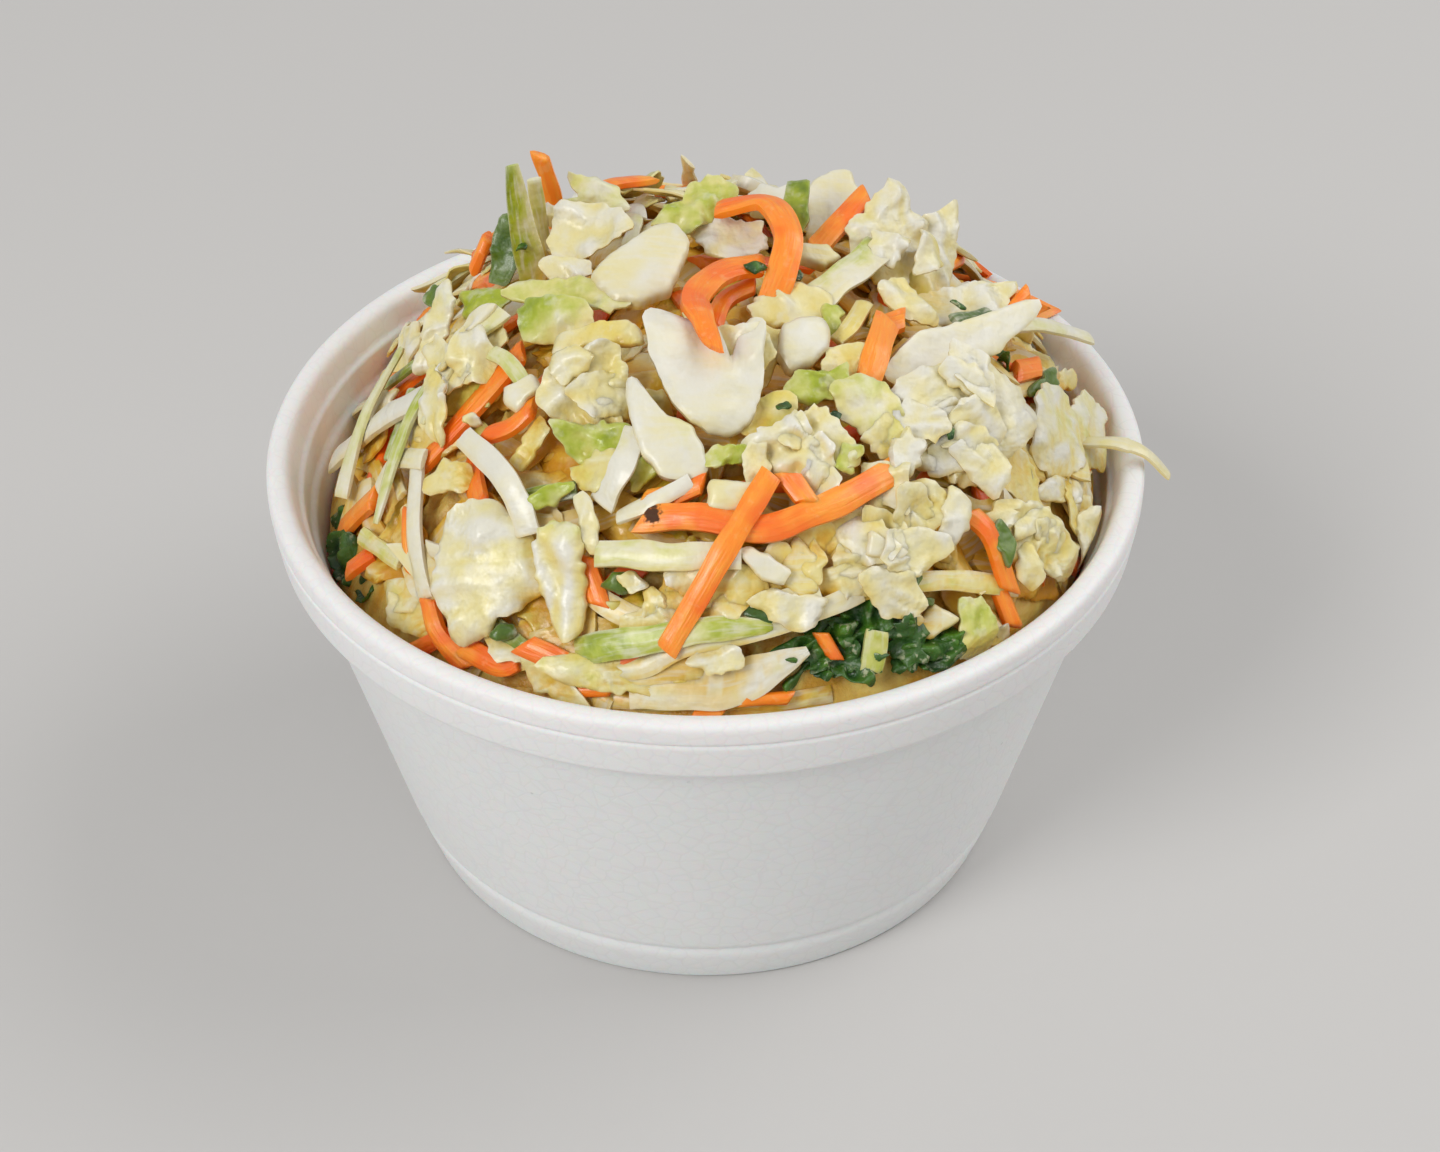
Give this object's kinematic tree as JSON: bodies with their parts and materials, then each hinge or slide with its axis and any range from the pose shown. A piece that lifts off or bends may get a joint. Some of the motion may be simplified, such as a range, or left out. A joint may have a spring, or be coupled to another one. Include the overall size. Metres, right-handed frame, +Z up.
{
  "type": "cup of coleslaw",
  "caption": "Squat white foam cup heaped with coleslaw of chopped cabbage, carrot shreds and curly kale in a creamy dressing.",
  "frame": {"origin": "centre of the cup's underside, on the surface it stands on", "axes": "+Z up, out of the mouth; +X to the right, towards the strip that hangs over the rim; -Y towards the side that is eaten from"},
  "size_m": [0.1206, 0.117, 0.0961],
  "materials": {
    "foam": "white moulded bead foam, satin skin",
    "slaw": "pale chopped cabbage with orange carrot and green leaf, wet with creamy dressing"
  },
  "bodies": {
    "root": {"cup": "foam", "coleslaw": "slaw"}
  },
  "joints": []
}
